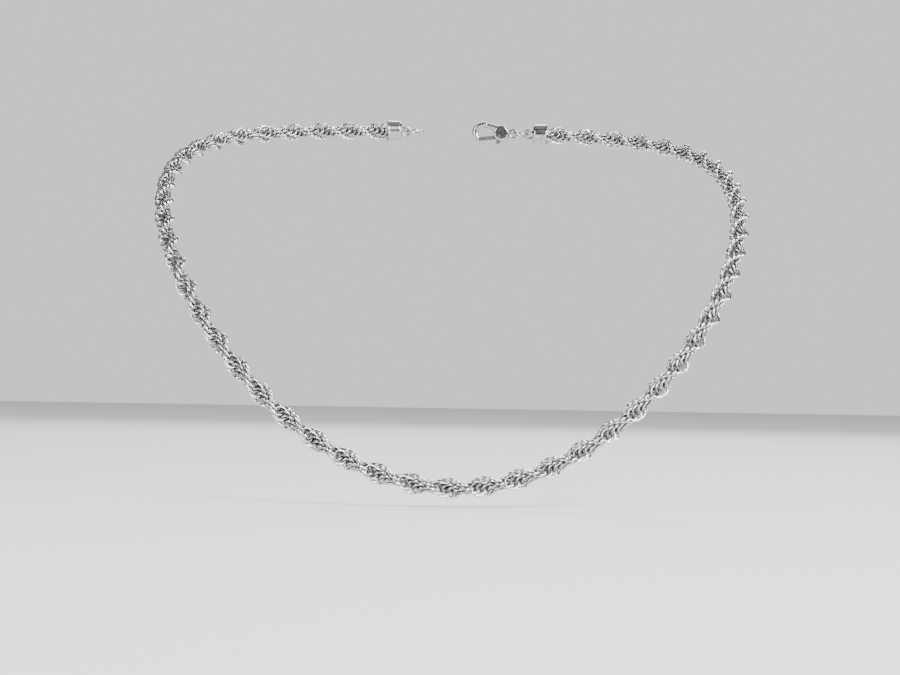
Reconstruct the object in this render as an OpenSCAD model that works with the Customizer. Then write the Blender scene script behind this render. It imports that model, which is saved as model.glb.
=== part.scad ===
// Rope-chain necklace with a lobster clasp, hanging round a neck.
// Origin on the neck's axis, level with the widest points of the loop.
// +Z is up, the throat is toward -Y, the clasp is at the nape.

/* [Loop] */
// Half of the loop's width, at the shoulders
half_w = 73; // [60:0.5:90]
// Half of the loop's depth, from the neck's axis to the throat
half_d = 48.5; // [42:0.5:60]
// How far the throat hangs below the shoulders
throat_drop = 73.6; // [60:0.1:85]
// How far the nape stands above the shoulders
nape_rise = 22.6; // [10:0.1:30]
// How far the widest points lie in front of the neck's axis
side_forward = 2.2; // [0:0.1:6]
// How much the throat and the nape are flattened
end_flat = 4.8; // [2:0.1:6]
// Gap at the nape between the open clasp and the catch ring
nape_gap = 12; // [9:0.5:30]

/* [Chain] */
// Overall width of the rope chain
chain_w = 5; // [4:0.1:6]
// Distance from the middle of the throat to the nearest ring, along the chain
front_shift = -1.2; // [-4:0.1:4]

/* [End caps] */
// Wall of the cup that holds the end of the chain
cap_wall = 0.35; // [0.25:0.05:0.6]
// Length of the cup's straight wall
cap_len = 2.9; // [2.6:0.1:4]
// Mean radius of the eye on the cap
eye_r = 1.2; // [1.1:0.05:1.6]

/* [Rings and clasp] */
// Wire of the eyes, the jump ring and the catch ring
fitting_wire = 0.8; // [0.6:0.05:0.9]
// Mean radius of the jump ring
jump_r = 1.9; // [1.8:0.1:2.6]
// Mean radius of the catch ring
catch_r = 2.2; // [1.9:0.1:3]
// Mean radius of the eye on the clasp
clasp_eye_r = 1.1; // [1.05:0.05:1.4]
// Radius of the clasp's round heel
heel_r = 2.2; // [2.1:0.1:2.5]
// Thickness of the clasp's heel
heel_t = 2.6; // [2.2:0.1:3.2]
// Mean radius of the clasp's hook
hook_r = 2.25; // [2.1:0.05:2.6]
// Thickness of the hook's round bar
hook_bar = 1.7; // [1.4:0.1:1.8]
// Thickness of the lever
lever_t = 1.0; // [0.8:0.1:1.2]
// Diameter of the lever's rivet
rivet_d = 0.8; // [0.6:0.05:1]

/* [Hidden] */
// rope chain: every ring is alike and links the three before and the three after it
ring_r = chain_w / 2.497;           // mean radius of one ring
wire_r = 0.135 * ring_r;            // radius of the wire
ring_step = 0.545 * ring_r;         // advance from one ring to the next
ring_turn = 204;                    // turn from one ring to the next, right-handed rope
ring_offset = 0.1133 * ring_r;      // ring centre from the chain's centre line
ring_lean = 76.83;                  // lean of the ring's axis from the chain's centre line
first_turn = 90;                    // ring 0 faces straight out from the throat

// clearances
cup_clear = 0.1;                    // rope to cup wall
slack = 0.1;                        // one linked wire to the next
side_clear = 0.1;                   // lever to each cheek
run_clear = 0.05;                   // rivet to lever bore, radial
end_clear = 0.08;                   // lever tip to hook end

// the chain is cut into stretches that swing on each other
side_stretches = 12;
front_half = 7;                     // the front stretch holds rings -7 to 7

// fittings, measured along the chain's centre line
fit_r = fitting_wire / 2;
ring_reach = ring_r + wire_r;
plug_gap = 0.15;                    // cup's floor to the last free ring
plug_start = ring_reach - ring_step + plug_gap;
cup_r = chain_w / 2 + cup_clear;
cap_r = cup_r + cap_wall;
cap_start = -1;
shoulder = 0.75;                    // rounded end of the cap
collar_r = 1.3;                     // little cone that carries the cap's eye
collar_h = 0.6;
collar_sink = 0.35;                 // how deep the cone starts in the cap
cap_end = cap_start + cap_len + shoulder;
eye_rise = 0.2;                     // the eye stands clear of the cap by this much
eye_at = cap_end + eye_r + eye_rise;
eye_pull = eye_r - 2 * fit_r - slack;
jump_at = eye_at + eye_pull + jump_r;
clasp_pull = clasp_eye_r - 2 * fit_r - slack;
clasp_at = jump_at + jump_r + clasp_pull;
catch_at = eye_at + eye_pull + catch_r;

// clasp, measured from the centre of its eye toward the hook
heel_gap = 0.1;                     // eye's mean circle to the heel
hook_reach = 5.2;                   // heel's centre to the hook's centre
hook_open = 60;                     // the lever's tip meets the hook at this angle
heel_x = clasp_eye_r + heel_r + heel_gap;
hook_x = heel_x + hook_reach;
bar_r = hook_bar / 2;
pivot = [heel_x + 0.5, 1.05];       // centre of the rivet
hook_end = [hook_x + hook_r * cos(hook_open), hook_r * sin(hook_open)];
lever_len = norm(hook_end - pivot) - end_clear;
lever_dir = atan2(hook_end.y - pivot.y, hook_end.x - pivot.x);
lever_half = 0.55;                  // half of the lever's height
boss_r = rivet_d / 2 + 0.55;
tab_dir = 75;                       // the thumb tab stands at this angle
tab_half = 0.5;
tab_len = heel_r + 0.95 - pivot.y;
slot_floor = -0.35;
slot_back = 0.2;                    // room behind the lever's boss
slot_size = 6;                      // runs out through the heel's top and front
leaf_t = 0.15;
leaf_foot = 1;                      // how far the leaf's foot reaches behind the rivet
bar_slope = 13;                     // the hook's straight bar falls away at this angle
bar_sink = 0.4;                     // the bar starts this far past the heel's centre
knuckle_r = 1.1 * bar_r;
cut_size = 6;                       // block that clears the lever's way into the hook
clasp_tip = hook_x + hook_r + bar_r;

// centre line of the loop: angle 0 is the throat, +-180 the nape
mean_z = (nape_rise - throat_drop) / 4;
swing_z = (nape_rise + throat_drop) / 2;
low_z = 1.06;                       // rounds the loop's low front
function path_point(a) = [
    half_w * sin(a),
    -half_d * cos(a) + side_forward / 2 * (cos(2 * a) - 1) - end_flat * (cos(a) - cos(3 * a)),
    mean_z * (1 + cos(2 * a)) - (swing_z - low_z) * cos(a) - low_z * cos(3 * a)
];
function unit(v) = v / norm(v);

// distance along the loop against angle, measured from the throat
samples = 900;
function sample_angle(i) = -180 + 360 * i / samples;
running = [
    for (i = 0, s = 0; i <= samples;
         s = s + norm(path_point(sample_angle(i + 1)) - path_point(sample_angle(i))), i = i + 1) s
];
half_len = running[samples] / 2;
angle_table = [for (i = [0 : samples]) [running[i] - half_len, sample_angle(i)]];
function angle_at(s) = lookup(s, angle_table);
function path_at(s) = path_point(angle_at(s));
function along(s) = unit(path_at(s + 0.4) - path_at(s - 0.4));
function outward(s) = unit(cross(along(s), [0, 0, 1]));

// how many rings fit on each side, and where each stretch ends
right_len = half_len - nape_gap / 2 - clasp_at - clasp_tip;
left_len = half_len - nape_gap / 2 - catch_at - catch_r - fit_r;
right_rings = floor((right_len - front_shift) / ring_step);
left_rings = floor((left_len + front_shift) / ring_step);
function last_ring(rings, k) = front_half + round(k * (rings - front_half) / side_stretches);
function held(k) = k == side_stretches ? 1 : 0;    // the end ring belongs to its cap
function ring_at(i) = front_shift + i * ring_step;

function name_of(side, k) = str("chain_", side, k < 10 ? "_0" : "_", k);

steel = "silver";
shade = "gainsboro";

// x points away from the neck, z along the chain
module on_path(s) {
    z = along(s);
    x = outward(s);
    y = cross(z, x);
    p = path_at(s);
    multmatrix([
        [x.x, y.x, z.x, p.x],
        [x.y, y.y, z.y, p.y],
        [x.z, y.z, z.z, p.z]
    ])
        children();
}

module torus(mean_r, section_r) {
    rotate_extrude($fn = 64) translate([mean_r, 0]) circle(r = section_r, $fn = 24);
}

module rope_ring(i) {
    on_path(ring_at(i))
        rotate([0, 0, first_turn + i * ring_turn])
            translate([ring_offset, 0, 0])
                rotate([-ring_lean, 0, 0])
                    torus(ring_r, wire_r);
}

module stretch(first, last) {
    color(steel) for (i = [first : last]) rope_ring(i);
}

module chain_front() {
    stretch(-front_half, front_half);
}

module chain_right(k) {
    stretch(last_ring(right_rings, k - 1) + 1, last_ring(right_rings, k) - held(k));
}

module chain_left(k) {
    stretch(held(k) - last_ring(left_rings, k), -last_ring(left_rings, k - 1) - 1);
}

// z runs away from the chain, toward the other end of the necklace
module at_right_end() {
    on_path(ring_at(right_rings)) children();
}

module at_left_end() {
    on_path(ring_at(-left_rings)) rotate([180, 0, 0]) children();
}

module cup() {
    body_end = cap_end - shoulder;
    difference() {
        rotate_extrude($fn = 96) {
            translate([0, cap_start]) square([cap_r, body_end - cap_start]);
            translate([0, body_end]) square([cap_r - shoulder, shoulder]);
            translate([cap_r - shoulder, body_end]) circle(r = shoulder, $fn = 48);
        }
        translate([0, 0, cap_start - 1]) cylinder(r = cup_r, h = plug_start - cap_start + 1, $fn = 96);
    }
}

module lip() {
    bead_r = cap_wall * 0.75;
    translate([0, 0, cap_start]) torus(cup_r + bead_r, bead_r);
}

// the ring in its mouth is soldered to the cap
module end_cap() {
    color(shade) {
        cup();
        lip();
        translate([0, 0, eye_at]) rotate([0, 90, 0]) torus(eye_r, fit_r);
        translate([0, 0, cap_end - collar_sink])
            cylinder(r1 = collar_r, r2 = collar_r - 0.4, h = collar_h, $fn = 64);
    }
}

module end_cap_right() {
    at_right_end() end_cap();
    color(shade) rope_ring(right_rings);
}

module end_cap_left() {
    at_left_end() end_cap();
    color(shade) rope_ring(-left_rings);
}

module jump_ring() {
    color(steel) at_right_end() translate([0, 0, jump_at]) rotate([90, 0, 0]) torus(jump_r, fit_r);
}

module catch_ring() {
    color(steel) at_left_end() translate([0, 0, catch_at]) rotate([90, 0, 0]) torus(catch_r, fit_r);
}

// clasp frame: x toward the hook, y to the lever's side, z through the thickness
module at_clasp() {
    at_right_end() translate([0, 0, clasp_at]) rotate([0, -90, 0]) children();
}

module bar(from, to, r) {
    d = to - from;
    translate([from.x, from.y, 0])
        rotate([0, 0, atan2(d.y, d.x)])
            rotate([0, 90, 0])
                cylinder(r = r, h = norm(d), $fn = 48);
}

module heel() {
    edge = 0.6;
    translate([heel_x, 0, 0]) rotate_extrude($fn = 96) {
        translate([0, -heel_t / 2]) square([heel_r - edge, heel_t]);
        translate([0, edge - heel_t / 2]) square([heel_r, heel_t - 2 * edge]);
        for (side = [-1, 1])
            translate([heel_r - edge, side * (heel_t / 2 - edge)]) circle(r = edge, $fn = 32);
    }
}

module lever_slot() {
    width = lever_t + 2 * side_clear;
    translate([pivot.x - boss_r - slot_back, slot_floor, -width / 2])
        cube([slot_size, slot_size, width]);
}

// the hook's arc and the straight bar stop just short of each other in a slightly larger knuckle
module hook() {
    arc_short = 1.5;
    bar_short = 0.05;
    knuckle = [hook_x - hook_r * sin(bar_slope), -hook_r * cos(bar_slope)];
    root = knuckle + (knuckle.x - heel_x - bar_sink) * [-1, tan(bar_slope)];
    start = -90 - bar_slope + arc_short;
    difference() {
        translate([hook_x, 0, 0]) rotate([0, 0, start])
            rotate_extrude(angle = 90 - start, $fn = 64) translate([hook_r, 0]) circle(r = bar_r, $fn = 32);
        translate([pivot.x, pivot.y, -cut_size / 2]) rotate([0, 0, lever_dir])
            translate([0, -cut_size / 4, 0]) cube([lever_len + end_clear, cut_size, cut_size]);
    }
    bar(root, knuckle - bar_short * unit(knuckle - root), bar_r);
    translate([knuckle.x, knuckle.y, 0]) sphere(r = knuckle_r, $fn = 48);
}

module clasp_body() {
    color(steel) at_clasp() difference() {
        union() {
            torus(clasp_eye_r, fit_r);
            heel();
            hook();
        }
        lever_slot();
        translate([pivot.x, pivot.y, -heel_t]) cylinder(r = rivet_d / 2, h = 2 * heel_t, $fn = 48);
    }
}

module clasp_rivet() {
    color(shade) at_clasp() translate([pivot.x, pivot.y, -heel_t / 2]) {
        cylinder(r = rivet_d / 2, h = heel_t, $fn = 48);
    }
}

module lever_outline() {
    translate(pivot) {
        circle(r = boss_r, $fn = 64);
        intersection() {
            rotate(lever_dir) translate([0, -lever_half]) square([lever_len + 1, 2 * lever_half]);
            circle(r = lever_len, $fn = 128);
        }
        rotate(tab_dir) translate([0, -tab_half]) square([tab_len - tab_half, 2 * tab_half]);
        rotate(tab_dir) translate([tab_len - tab_half, 0]) circle(r = tab_half, $fn = 48);
    }
}

module clasp_lever() {
    color(shade) at_clasp() translate([0, 0, -lever_t / 2]) difference() {
        linear_extrude(lever_t) lever_outline();
        translate([pivot.x, pivot.y, -1]) cylinder(r = rivet_d / 2 + run_clear, h = lever_t + 2, $fn = 48);
    }
}

// bent leaf between the slot's floor and the lever
module clasp_spring() {
    width = lever_t - side_clear;
    foot = [pivot.x - leaf_foot, slot_floor];
    bend = [pivot.x + 0.5, slot_floor];
    tip = [pivot.x + 1.7, pivot.y - lever_half - leaf_t];
    color(shade) at_clasp() translate([0, 0, -width / 2]) linear_extrude(width) polygon([
        foot,
        bend,
        tip,
        tip + [-0.8, 0.8] * leaf_t,
        bend + [-0.4, 1] * leaf_t,
        foot + [0, leaf_t]
    ]);
}

chain_front();
for (k = [1 : side_stretches]) {
    chain_right(k);
    chain_left(k);
}
end_cap_right();
end_cap_left();
jump_ring();
clasp_body();
clasp_rivet();
clasp_lever();
clasp_spring();
catch_ring();
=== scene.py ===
import math
import bmesh
import bpy
from mathutils import Matrix, Vector


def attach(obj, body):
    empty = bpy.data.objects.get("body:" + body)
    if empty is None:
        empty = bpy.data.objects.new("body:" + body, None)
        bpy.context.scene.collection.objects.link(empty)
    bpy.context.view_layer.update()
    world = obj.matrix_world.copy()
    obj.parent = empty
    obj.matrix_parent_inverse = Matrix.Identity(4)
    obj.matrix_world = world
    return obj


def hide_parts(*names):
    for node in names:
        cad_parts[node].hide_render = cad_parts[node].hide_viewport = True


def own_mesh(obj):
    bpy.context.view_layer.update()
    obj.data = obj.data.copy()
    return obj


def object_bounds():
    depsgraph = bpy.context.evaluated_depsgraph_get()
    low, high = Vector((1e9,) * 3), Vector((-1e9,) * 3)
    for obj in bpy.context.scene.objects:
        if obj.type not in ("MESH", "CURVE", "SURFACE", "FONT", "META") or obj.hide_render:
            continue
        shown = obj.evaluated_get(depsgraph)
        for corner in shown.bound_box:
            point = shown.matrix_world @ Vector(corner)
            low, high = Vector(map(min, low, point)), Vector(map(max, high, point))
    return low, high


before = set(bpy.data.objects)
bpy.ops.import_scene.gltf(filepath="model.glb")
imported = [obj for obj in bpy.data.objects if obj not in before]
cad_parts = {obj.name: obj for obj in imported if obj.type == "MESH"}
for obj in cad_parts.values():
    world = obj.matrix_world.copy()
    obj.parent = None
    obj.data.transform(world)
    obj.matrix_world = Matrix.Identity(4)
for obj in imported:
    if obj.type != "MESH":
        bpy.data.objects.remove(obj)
cadBox = [list(corner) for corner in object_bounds()]
mm = 0.001


def linearColour(hexText):
    # sRGB hex to the linear values that Blender works in
    parts = [int(hexText[i:i + 2], 16) / 255 for i in (1, 3, 5)]
    return [c / 12.92 if c <= 0.04045 else ((c + 0.055) / 1.055) ** 2.4 for c in parts] + [1.0]


def addNode(tree, kind, values=None, **settings):
    # a value that is a socket is linked, anything else is set on the input
    node = tree.nodes.new(kind)
    for name, setting in settings.items():
        setattr(node, name, setting)
    for key, value in (values or {}).items():
        if isinstance(value, bpy.types.NodeSocket):
            tree.links.new(value, node.inputs[key])
        else:
            node.inputs[key].default_value = value
    return node


cameraSetup = {
    "target": (0, 0, -33.6 * mm),
    "distance": 469.9 * mm,
    "azimuth": -1.79,
    "elevation": -2.35,
    "roll": 0.96,       # the camera leans a little to its left
    "lens": 73.2,
    "shiftY": -0.0163,
}


def makeCamera(setup):
    az, el = math.radians(setup["azimuth"]), math.radians(setup["elevation"])
    back = Vector((math.sin(az) * math.cos(el), -math.cos(az) * math.cos(el), math.sin(el)))
    data = bpy.data.cameras.new("studioCamera")
    data.lens, data.sensor_width, data.shift_y = setup["lens"], 36, setup["shiftY"]
    data.clip_start, data.clip_end = 0.01, 20
    camera = bpy.data.objects.new("studioCamera", data)
    bpy.context.scene.collection.objects.link(camera)
    place = Matrix.Translation(Vector(setup["target"]) + back * setup["distance"])
    turn = (-back).to_track_quat("-Z", "Y").to_matrix().to_4x4()
    camera.matrix_world = place @ turn @ Matrix.Rotation(math.radians(setup["roll"]), 4, "Z")
    bpy.context.scene.camera = camera


makeCamera(cameraSetup)
print("camera placed")


wireFinish = {
    "steel": "#e2dfe3",        # polished steel, faintly cool
    "paintedCoreShade": "#3d383f",    # painted shade inside the rope, where the wires shade one another
    "solder": "#a9a59e",
    "roughness": 0.11,
    "coreRoughness": 0.42,
    "dieLineSpacing": 0.09,    # mm; real die lines are about 0.01 mm, drawn coarser to show
    "scratchSpacing": 0.35,    # mm
    "seamWidth": 0.16,         # mm
    # the painted shade is full at coreFrom and gone at coreTo from the rope's centre line
    "coreFrom": 0.7,           # mm from the rope's centre line
    "coreTo": 1.9,
    "shadePatchSize": 1.4,          # mm; size of the patches in the painted shade and the dullness
    "toneSpread": 0.12,        # how much one ring's tone may differ from the next
    "jointDuller": 0.25,
    "jointSunk": -0.8,
    "bumpStrength": 0.25,
    "bumpHeight": 0.012,       # mm
}


def makeWireSteel(name, finish):
    # drawn and barrel-polished steel wire: hard white highlights, painted shade darkening the rope's core,
    # faint lines along the wire and a fine soldered joint once on each ring
    material = bpy.data.materials.new(name)
    material.use_nodes = True
    tree = material.node_tree
    tree.nodes.clear()
    local = addNode(tree, "ShaderNodeAttribute", attribute_name="ringLocal", attribute_type="GEOMETRY")
    seed = addNode(tree, "ShaderNodeAttribute", attribute_name="ringSeed", attribute_type="GEOMETRY")
    core = addNode(tree, "ShaderNodeAttribute", attribute_name="fromCore", attribute_type="GEOMETRY")
    place = addNode(tree, "ShaderNodeTexCoord")
    split = addNode(tree, "ShaderNodeSeparateXYZ", {0: local.outputs["Vector"]})

    # joint: a narrow band where the ring's local y is near nought on its +x side
    across = addNode(tree, "ShaderNodeMath", {0: split.outputs["Y"]}, operation="ABSOLUTE")
    band = addNode(tree, "ShaderNodeMapRange", {
        "Value": across.outputs[0],
        "From Min": finish["seamWidth"] * mm * 0.25, "From Max": finish["seamWidth"] * mm,
        "To Min": 1.0, "To Max": 0.0}, interpolation_type="SMOOTHSTEP")
    side = addNode(tree, "ShaderNodeMath", {0: split.outputs["X"], 1: 0.0}, operation="GREATER_THAN")
    joint = addNode(tree, "ShaderNodeMath", {
        0: band.outputs[0], 1: side.outputs[0]}, operation="MULTIPLY")

    # painted shade: darker toward the rope's centre line, and duller there as well
    shade = addNode(tree, "ShaderNodeMapRange", {
        "Value": core.outputs["Fac"],
        "From Min": finish["coreFrom"] * mm, "From Max": finish["coreTo"] * mm,
        "To Min": 1.0, "To Max": 0.0}, interpolation_type="SMOOTHSTEP")
    # noise that breaks the painted shade and the dullness into patches
    shadeAndDullPatches = addNode(tree, "ShaderNodeTexNoise", {
        "Vector": place.outputs["Object"], "Scale": 1 / (finish["shadePatchSize"] * mm),
        "Detail": 3.0, "Roughness": 0.6})
    patchy = addNode(tree, "ShaderNodeMapRange", {
        "Value": shadeAndDullPatches.outputs["Fac"], "From Min": 0.3, "From Max": 0.7, "To Min": 0.6, "To Max": 1.0})
    paintedShadeAndDullMask = addNode(tree, "ShaderNodeMath", {0: shade.outputs[0], 1: patchy.outputs[0]}, operation="MULTIPLY")

    tone = addNode(tree, "ShaderNodeMapRange", {
        "Value": seed.outputs["Fac"], "From Min": 0.0, "From Max": 1.0,
        "To Min": 0.0, "To Max": finish["toneSpread"]})
    outer = addNode(tree, "ShaderNodeMix", {
        "Factor": tone.outputs[0], 6: linearColour(finish["steel"]),
        7: linearColour(finish["paintedCoreShade"])}, data_type="RGBA")
    # the painted shade pulls the colour toward the dark shade colour in the rope's core
    paintedShadeColour = addNode(tree, "ShaderNodeMix", {
        "Factor": paintedShadeAndDullMask.outputs[0], 6: outer.outputs[2],
        7: linearColour(finish["paintedCoreShade"])}, data_type="RGBA")
    colour = addNode(tree, "ShaderNodeMix", {
        "Factor": joint.outputs[0], 6: paintedShadeColour.outputs[2],
        7: linearColour(finish["solder"])}, data_type="RGBA")

    # die lines run along the wire, so they change with height and radius in the ring's own frame
    flat = addNode(tree, "ShaderNodeCombineXYZ", {0: split.outputs["X"], 1: split.outputs["Y"]})
    radius = addNode(tree, "ShaderNodeVectorMath", {0: flat.outputs[0]}, operation="LENGTH")
    linePlace = addNode(tree, "ShaderNodeCombineXYZ", {
        0: radius.outputs["Value"], 1: split.outputs["Z"], 2: seed.outputs["Fac"]})
    dieLines = addNode(tree, "ShaderNodeTexNoise", {
        "Vector": linePlace.outputs[0], "Scale": 1 / (finish["dieLineSpacing"] * mm), "Detail": 2.0})
    scratches = addNode(tree, "ShaderNodeTexNoise", {
        "Vector": place.outputs["Object"], "Scale": 1 / (finish["scratchSpacing"] * mm),
        "Detail": 5.0, "Roughness": 0.65})
    smear = addNode(tree, "ShaderNodeMapRange", {
        "Value": scratches.outputs["Fac"], "From Min": 0.35, "From Max": 0.7,
        "To Min": -0.03, "To Max": 0.07})
    rough = addNode(tree, "ShaderNodeMapRange", {
        "Value": paintedShadeAndDullMask.outputs[0], "From Min": 0.0, "From Max": 1.0,
        "To Min": finish["roughness"], "To Max": finish["coreRoughness"]})
    roughSum = addNode(tree, "ShaderNodeMath", {0: rough.outputs[0], 1: smear.outputs[0]}, operation="ADD")
    roughJoint = addNode(tree, "ShaderNodeMath", {
        0: joint.outputs[0], 1: finish["jointDuller"], 2: roughSum.outputs[0]},
        operation="MULTIPLY_ADD", use_clamp=True)

    lift = addNode(tree, "ShaderNodeMath", {
        0: joint.outputs[0], 1: finish["jointSunk"], 2: dieLines.outputs["Fac"]}, operation="MULTIPLY_ADD")
    bump = addNode(tree, "ShaderNodeBump", {
        "Height": lift.outputs[0], "Strength": finish["bumpStrength"],
        "Distance": finish["bumpHeight"] * mm})
    shader = addNode(tree, "ShaderNodeBsdfPrincipled", {
        "Base Color": colour.outputs[2], "Metallic": 1.0,
        "Roughness": roughJoint.outputs[0], "Normal": bump.outputs[0]})
    addNode(tree, "ShaderNodeOutputMaterial", {"Surface": shader.outputs[0]})
    return material


castFinish = {"steel": "#d8d6d9", "low": "#9a969c", "roughness": 0.14, "spread": 0.16,
              "grain": 0.22, "swirl": 1.1, "bump": 0.02}
leverFinish = {"steel": "#cfcdd0", "low": "#8f8b90", "roughness": 0.24, "spread": 0.14,
               "grain": 0.12, "swirl": 0.7, "bump": 0.03}
springFinish = {"steel": "#9fa1a8", "low": "#5e6270", "roughness": 0.34, "spread": 0.18,
                "grain": 0.1, "swirl": 0.5, "bump": 0.02}


def makeFittingSteel(name, finish, stretch):
    # tumbled cast steel: soft swirls from polishing, small pits, hairline marks along one way
    material = bpy.data.materials.new(name)
    material.use_nodes = True
    tree = material.node_tree
    tree.nodes.clear()
    place = addNode(tree, "ShaderNodeTexCoord")
    pull = addNode(tree, "ShaderNodeMapping", {"Vector": place.outputs["Object"], "Scale": stretch})
    hairs = addNode(tree, "ShaderNodeTexNoise", {
        "Vector": pull.outputs[0], "Scale": 1 / (finish["grain"] * mm), "Detail": 4.0, "Roughness": 0.6})
    swirls = addNode(tree, "ShaderNodeTexNoise", {
        "Vector": place.outputs["Object"], "Scale": 1 / (finish["swirl"] * mm),
        "Detail": 3.0, "Distortion": 0.8})
    mixed = addNode(tree, "ShaderNodeMath", {
        0: hairs.outputs["Fac"], 1: swirls.outputs["Fac"]}, operation="MULTIPLY")
    tone = addNode(tree, "ShaderNodeMapRange", {
        "Value": mixed.outputs[0], "From Min": 0.16, "From Max": 0.4, "To Min": 0.0, "To Max": 1.0})
    colour = addNode(tree, "ShaderNodeMix", {
        "Factor": tone.outputs[0], 6: linearColour(finish["low"]),
        7: linearColour(finish["steel"])}, data_type="RGBA")
    rough = addNode(tree, "ShaderNodeMapRange", {
        "Value": mixed.outputs[0], "From Min": 0.1, "From Max": 0.45,
        "To Min": finish["roughness"] + finish["spread"], "To Max": finish["roughness"]})
    bump = addNode(tree, "ShaderNodeBump", {
        "Height": hairs.outputs["Fac"], "Strength": 0.3, "Distance": finish["bump"] * mm})
    shader = addNode(tree, "ShaderNodeBsdfPrincipled", {
        "Base Color": colour.outputs[2], "Metallic": 1.0,
        "Roughness": rough.outputs[0], "Normal": bump.outputs[0]})
    addNode(tree, "ShaderNodeOutputMaterial", {"Surface": shader.outputs[0]})
    return material


wireSteel = makeWireSteel("polishedSteelWire", wireFinish)
castSteel = makeFittingSteel("tumbledCastSteel", castFinish, (1, 1, 1))
leverSteel = makeFittingSteel("satinLeverSteel", leverFinish, (0.15, 1, 1))
springSteel = makeFittingSteel("rolledSpringSteel", springFinish, (0.1, 1, 1))
print("metals made")


loop = {
    "halfWidth": 73.0, "halfDepth": 48.5, "throatDrop": 73.6, "napeRise": 22.6,
    "sideForward": 2.2, "endFlat": 4.8, "lowRound": 1.06, "samples": 900,
}


def loopPoint(angle):
    # angle 0 is the throat and +-pi the nape
    c1, c2, c3 = (math.cos(k * angle) for k in (1, 2, 3))
    meanZ = (loop["napeRise"] - loop["throatDrop"]) / 4
    swingZ = (loop["napeRise"] + loop["throatDrop"]) / 2
    return Vector((
        loop["halfWidth"] * math.sin(angle),
        -loop["halfDepth"] * c1 + loop["sideForward"] / 2 * (c2 - 1) - loop["endFlat"] * (c1 - c3),
        meanZ * (1 + c2) - (swingZ - loop["lowRound"]) * c1 - loop["lowRound"] * c3,
    )) * mm


def makeLoopLine():
    count = loop["samples"]
    points = [loopPoint(-math.pi + 2 * math.pi * i / count) for i in range(count + 1)]
    curve = bpy.data.curves.new("loopLine", "CURVE")
    curve.dimensions = "3D"
    spline = curve.splines.new("POLY")
    spline.points.add(count)
    for target, point in zip(spline.points, points):
        target.co = (*point, 1)
    line = bpy.data.objects.new("loopLine", curve)
    bpy.context.scene.collection.objects.link(line)
    length = sum((b - a).length for a, b in zip(points, points[1:]))
    return line, length


loopLine, loopLength = makeLoopLine()
print("loop is", round(loopLength / mm, 1), "mm round")


ringRadius = 5.0 / 3.13
rope = {
    "ringRadius": ringRadius, "wireRadius": 0.172 * ringRadius, "step": 0.38 * ringRadius,
    "offset": 0.506 * ringRadius, "turn": 193.35, "firstTurn": 54,
    "lean": 80.3, "leanFrom": -37.4,      # the ring's axis: off the rope's line, and round it
    "frontShift": -1.2, "aroundRing": 16, "aroundWire": 5, "seed": 11,
}
# where the stretches end along the rope, counted in the CAD's solid rings
cuts = {"step": 0.545 * 5.0 / 2.497, "frontHalf": 7, "stretches": 12, "right": 191, "left": 199}


def addInput(tree, name, kind):
    return tree.interface.new_socket(name, in_out="INPUT", socket_type=kind).identifier


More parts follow.
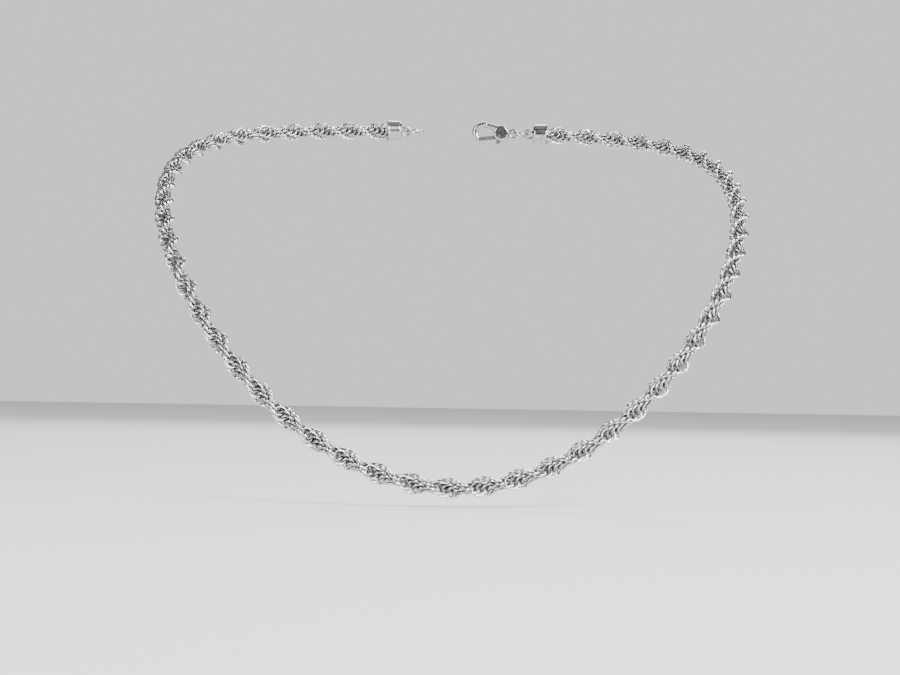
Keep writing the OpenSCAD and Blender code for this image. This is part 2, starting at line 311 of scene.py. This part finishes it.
def makeRopeTree():
    # rings on a path: each is turned on from the last and leans to lie almost along the rope
    tree = bpy.data.node_groups.new("ropeRings", "GeometryNodeTree")
    ids = {}
    for name, kind in (
        ("Loop", "NodeSocketObject"), ("First Ring", "NodeSocketInt"), ("Ring Count", "NodeSocketInt"),
        ("Ring Radius", "NodeSocketFloat"), ("Wire Radius", "NodeSocketFloat"), ("Step", "NodeSocketFloat"),
        ("Start", "NodeSocketFloat"), ("Offset", "NodeSocketFloat"), ("Turn", "NodeSocketFloat"),
        ("First Turn", "NodeSocketFloat"), ("Lean", "NodeSocketFloat"), ("Lean From", "NodeSocketFloat"),
        ("Around Ring", "NodeSocketInt"),
        ("Around Wire", "NodeSocketInt"), ("Seed", "NodeSocketInt"), ("Metal", "NodeSocketMaterial"),
    ):
        ids[name] = addInput(tree, name, kind)
    tree.interface.new_socket("Geometry", in_out="OUTPUT", socket_type="NodeSocketGeometry")
    given = addNode(tree, "NodeGroupInput").outputs

    # where ring i stands on the loop
    index = addNode(tree, "GeometryNodeInputIndex")
    ring = addNode(tree, "ShaderNodeMath", {
        0: index.outputs[0], 1: given["First Ring"]}, operation="ADD").outputs[0]
    distance = addNode(tree, "ShaderNodeMath", {
        0: ring, 1: given["Step"], 2: given["Start"]}, operation="MULTIPLY_ADD").outputs[0]
    path = addNode(tree, "GeometryNodeObjectInfo", {"Object": given["Loop"]})
    spot = addNode(tree, "GeometryNodeSampleCurve", {
        "Curves": path.outputs["Geometry"], "Length": distance}, mode="LENGTH")
    along = addNode(tree, "ShaderNodeVectorMath", {
        0: spot.outputs["Tangent"]}, operation="NORMALIZE").outputs[0]
    level = addNode(tree, "ShaderNodeVectorMath", {
        0: along, 1: (0, 0, 1)}, operation="CROSS_PRODUCT").outputs[0]
    outward = addNode(tree, "ShaderNodeVectorMath", {0: level}, operation="NORMALIZE").outputs[0]
    across = addNode(tree, "ShaderNodeVectorMath", {
        0: along, 1: outward}, operation="CROSS_PRODUCT").outputs[0]

    # its turn about the rope, then its lean
    turn = addNode(tree, "ShaderNodeMath", {
        0: ring, 1: given["Turn"], 2: given["First Turn"]}, operation="MULTIPLY_ADD").outputs[0]
    cosTurn = addNode(tree, "ShaderNodeMath", {0: turn}, operation="COSINE").outputs[0]
    sinTurn = addNode(tree, "ShaderNodeMath", {0: turn}, operation="SINE").outputs[0]

    def blendVectors(first, firstBy, second, secondBy):
        one = addNode(tree, "ShaderNodeVectorMath", {
            0: first, "Scale": firstBy}, operation="SCALE").outputs[0]
        two = addNode(tree, "ShaderNodeVectorMath", {
            0: second, "Scale": secondBy}, operation="SCALE").outputs[0]
        return addNode(tree, "ShaderNodeVectorMath", {0: one, 1: two}, operation="ADD").outputs[0]

    minusSin = addNode(tree, "ShaderNodeMath", {0: sinTurn, 1: -1.0}, operation="MULTIPLY").outputs[0]
    radial = blendVectors(outward, cosTurn, across, sinTurn)
    sideways = blendVectors(outward, minusSin, across, cosTurn)
    sinLean = addNode(tree, "ShaderNodeMath", {0: given["Lean"]}, operation="SINE").outputs[0]
    cosLean = addNode(tree, "ShaderNodeMath", {0: given["Lean"]}, operation="COSINE").outputs[0]
    cosFrom = addNode(tree, "ShaderNodeMath", {0: given["Lean From"]}, operation="COSINE").outputs[0]
    sinFrom = addNode(tree, "ShaderNodeMath", {0: given["Lean From"]}, operation="SINE").outputs[0]
    leanWay = blendVectors(radial, cosFrom, sideways, sinFrom)
    ringAxis = blendVectors(leanWay, sinLean, along, cosLean)
    shift = addNode(tree, "ShaderNodeVectorMath", {
        0: radial, "Scale": given["Offset"]}, operation="SCALE").outputs[0]
    centre = addNode(tree, "ShaderNodeVectorMath", {
        0: spot.outputs["Position"], 1: shift}, operation="ADD").outputs[0]
    facing = addNode(tree, "FunctionNodeAxesToRotation", {
        "Primary Axis": ringAxis, "Secondary Axis": along}, primary_axis="Z", secondary_axis="X").outputs[0]
    spin = addNode(tree, "FunctionNodeRandomValue", {
        2: 0.0, 3: 2 * math.pi, "ID": ring, "Seed": given["Seed"]}, data_type="FLOAT").outputs[1]
    spinTurn = addNode(tree, "FunctionNodeAxisAngleToRotation", {
        "Axis": (0, 0, 1), "Angle": spin}).outputs[0]
    finalTurn = addNode(tree, "FunctionNodeRotateRotation", {
        "Rotation": facing, "Rotate By": spinTurn}, rotation_space="LOCAL").outputs[0]

    # one ring of round wire; its own coordinates go with it for the joint and the die lines
    circle = addNode(tree, "GeometryNodeCurvePrimitiveCircle", {
        "Resolution": given["Around Ring"], "Radius": given["Ring Radius"]}, mode="RADIUS")
    section = addNode(tree, "GeometryNodeCurvePrimitiveCircle", {
        "Resolution": given["Around Wire"], "Radius": given["Wire Radius"]}, mode="RADIUS")
    wire = addNode(tree, "GeometryNodeCurveToMesh", {
        "Curve": circle.outputs[0], "Profile Curve": section.outputs[0]}).outputs[0]
    here = addNode(tree, "GeometryNodeInputPosition").outputs[0]
    marked = addNode(tree, "GeometryNodeStoreNamedAttribute", {
        "Geometry": wire, "Name": "ringLocal", "Value": here},
        data_type="FLOAT_VECTOR", domain="POINT").outputs[0]

    points = addNode(tree, "GeometryNodePoints", {
        "Count": given["Ring Count"], "Position": centre}).outputs[0]
    placed = addNode(tree, "GeometryNodeInstanceOnPoints", {
        "Points": points, "Instance": marked, "Rotation": finalTurn}).outputs[0]
    tone = addNode(tree, "FunctionNodeRandomValue", {
        2: 0.0, 3: 1.0, "ID": ring, "Seed": 5}, data_type="FLOAT").outputs[1]
    toned = addNode(tree, "GeometryNodeStoreNamedAttribute", {
        "Geometry": placed, "Name": "ringSeed", "Value": tone},
        data_type="FLOAT", domain="INSTANCE").outputs[0]
    whole = addNode(tree, "GeometryNodeRealizeInstances", {"Geometry": toned}).outputs[0]

    # how far each point of the wire stands from the loop's line
    wirePlace = addNode(tree, "GeometryNodeInputPosition").outputs[0]
    lineMesh = addNode(tree, "GeometryNodeCurveToMesh", {"Curve": path.outputs["Geometry"]}).outputs[0]
    near = addNode(tree, "GeometryNodeProximity", {
        "Geometry": lineMesh, "Sample Position": wirePlace}, target_element="EDGES").outputs["Distance"]
    cored = addNode(tree, "GeometryNodeStoreNamedAttribute", {
        "Geometry": whole, "Name": "fromCore", "Value": near},
        data_type="FLOAT", domain="POINT").outputs[0]
    smooth = addNode(tree, "GeometryNodeSetShadeSmooth", {"Geometry": cored}).outputs[0]
    metal = addNode(tree, "GeometryNodeSetMaterial", {
        "Geometry": smooth, "Material": given["Metal"]}).outputs[0]
    addNode(tree, "NodeGroupOutput", {0: metal})
    return tree, ids


ropeTree, ropeInputs = makeRopeTree()


def makeStretch(body, node, firstRing, lastRing):
    host = bpy.data.objects.new(node + "Host", bpy.data.meshes.new(node + "Host"))
    bpy.context.scene.collection.objects.link(host)
    modifier = host.modifiers.new("rings", "NODES")
    modifier.node_group = ropeTree
    # rings and wire of few sides are drawn a touch larger, so that they keep the round ones' girth
    ringSide, wireSide = math.pi / rope["aroundRing"], math.pi / rope["aroundWire"]
    fullRing = rope["ringRadius"] * ringSide / math.sin(ringSide)
    fullWire = rope["wireRadius"] * wireSide / math.sin(wireSide)
    for name, value in (
        ("Loop", loopLine), ("First Ring", firstRing), ("Ring Count", lastRing - firstRing + 1),
        ("Ring Radius", fullRing * mm), ("Wire Radius", fullWire * mm),
        ("Step", rope["step"] * mm), ("Start", loopLength / 2 + rope["frontShift"] * mm),
        ("Offset", rope["offset"] * mm), ("Turn", math.radians(rope["turn"])),
        ("First Turn", math.radians(rope["firstTurn"])), ("Lean", math.radians(rope["lean"])),
        ("Lean From", math.radians(rope["leanFrom"])),
        ("Around Ring", rope["aroundRing"]), ("Around Wire", rope["aroundWire"]),
        ("Seed", rope["seed"]), ("Metal", wireSteel),
    ):
        modifier[ropeInputs[name]] = value
    bpy.context.view_layer.update()
    graph = bpy.context.evaluated_depsgraph_get()
    mesh = bpy.data.meshes.new_from_object(host.evaluated_get(graph))
    piece = bpy.data.objects.new("rope_" + body, mesh)
    bpy.context.scene.collection.objects.link(piece)
    bpy.data.objects.remove(host)
    mesh.materials.clear()
    mesh.materials.append(wireSteel)
    mesh.polygons.foreach_set("material_index", [0] * len(mesh.polygons))
    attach(piece, body)
    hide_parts(node)
    return piece


def ringBefore(side, k):
    # number of the last ring that stands before the end of stretch k on one side
    rings = cuts[side]
    cadRing = cuts["frontHalf"] + math.floor(k * (rings - cuts["frontHalf"]) / cuts["stretches"] + 0.5)
    reach = cadRing - 0.5 if k == cuts["stretches"] else cadRing + 0.5    # the end ring belongs to its cap
    return math.floor(reach * cuts["step"] / rope["step"])


ropePieces = [makeStretch("front", "chain_front", -ringBefore("left", 0), ringBefore("right", 0))]
for k in range(1, cuts["stretches"] + 1):
    ropePieces.append(makeStretch("right_%02d" % k, "chain_right_%02d" % k,
                                  ringBefore("right", k - 1) + 1, ringBefore("right", k)))
    ropePieces.append(makeStretch("left_%02d" % k, "chain_left_%02d" % k,
                                  -ringBefore("left", k), -ringBefore("left", k - 1) - 1))
bpy.data.objects.remove(loopLine)
print("rope made,", sum(len(p.data.polygons) for p in ropePieces), "faces")


fittingMetals = {
    "end_cap_right": castSteel, "end_cap_left": castSteel, "jump_ring": castSteel,
    "catch_ring": castSteel, "clasp_body": castSteel, "clasp_rivet": leverSteel,
    "clasp_lever": leverSteel,
}
for name, metal in fittingMetals.items():
    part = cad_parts[name]
    part.data.materials.clear()
    part.data.materials.append(metal)

leaf = {"name": "leaf_spring", "keep": 0.5}    # the share of its height left when the lever is pressed


def makeLeafSpring(setup):
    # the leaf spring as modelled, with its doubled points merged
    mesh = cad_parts["clasp_spring"].data.copy()
    shape = bmesh.new()
    shape.from_mesh(mesh)
    bmesh.ops.remove_doubles(shape, verts=shape.verts, dist=0.001 * mm)
    shape.to_mesh(mesh)
    shape.free()
    mesh.materials.clear()
    mesh.materials.append(springSteel)
    mesh.polygons.foreach_set("material_index", [0] * len(mesh.polygons))
    piece = bpy.data.objects.new(setup["name"], mesh)
    bpy.context.scene.collection.objects.link(piece)
    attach(piece, "clasp")
    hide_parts("clasp_spring")
    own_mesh(piece)


makeLeafSpring(leaf)
print("fittings finished")


studio = {
    "floorColour": "#d2d0d0", "floorBelow": 2.0, "floorSize": 8.0,
    "roomColour": "#3f3944", "roomStrength": 0.5,
    "airColour": "#e4e2e3", "airStrength": 1.25,
}


def makeFloor(setup):
    low = cadBox[0][2] - setup["floorBelow"] * mm
    half = setup["floorSize"] / 2
    mesh = bpy.data.meshes.new("studioFloor")
    mesh.from_pydata([(-half, -half, low), (half, -half, low), (half, half, low), (-half, half, low)],
                     [], [(0, 1, 2, 3)])
    floor = bpy.data.objects.new("studioFloor", mesh)
    bpy.context.scene.collection.objects.link(floor)
    material = bpy.data.materials.new("paleStudioFloor")   # matt painted board, even and pale
    material.use_nodes = True
    tree = material.node_tree
    shader = tree.nodes["Principled BSDF"]
    shader.inputs["Base Color"].default_value = linearColour(setup["floorColour"])
    shader.inputs["Roughness"].default_value = 0.75
    mesh.materials.append(material)


def makeLight(name, place, aim, size, power):
    data = bpy.data.lights.new(name, "AREA")
    data.shape, data.size, data.size_y = "RECTANGLE", size[0], size[1]
    data.energy = power
    light = bpy.data.objects.new(name, data)
    bpy.context.scene.collection.objects.link(light)
    light.location = place
    light.rotation_euler = (Vector(aim) - Vector(place)).to_track_quat("-Z", "Y").to_euler()


# name: place, point it faces, width and height, watts
lights = {
    "keyLight": ((0.45, -0.8, 0.6), (0, 0, -0.03), (0.5, 0.5), 24),
    "leftStrip": ((-0.75, -0.5, 0.3), (0, 0, -0.03), (0.12, 0.7), 9),
    "rightStrip": ((0.85, -0.2, 0.2), (0, 0, -0.03), (0.12, 0.7), 10),
    "backLight": ((0.1, 0.9, 0.6), (0, 0, -0.03), (0.7, 0.3), 9),
    "overheadLight": ((0, 0.8, 2.2), (0, 0.8, 0), (3.2, 3.2), 15),
}

makeFloor(studio)
for name, (place, aim, size, power) in lights.items():
    makeLight(name, place, aim, size, power)


def makeAir(setup):
    # pale air that lights the floor evenly; gloss sees the darker room between the lights
    world = bpy.data.worlds.new("studioAir")
    bpy.context.scene.world = world
    world.use_nodes = True
    tree = world.node_tree
    tree.nodes.clear()
    gloss = addNode(tree, "ShaderNodeLightPath").outputs["Is Glossy Ray"]
    room = addNode(tree, "ShaderNodeBackground", {
        "Color": linearColour(setup["roomColour"]), "Strength": setup["roomStrength"]})
    air = addNode(tree, "ShaderNodeBackground", {
        "Color": linearColour(setup["airColour"]), "Strength": setup["airStrength"]})
    both = addNode(tree, "ShaderNodeMixShader", {0: gloss, 1: air.outputs[0], 2: room.outputs[0]})
    addNode(tree, "ShaderNodeOutputWorld", {"Surface": both.outputs[0]})


makeAir(studio)
print("studio lit")
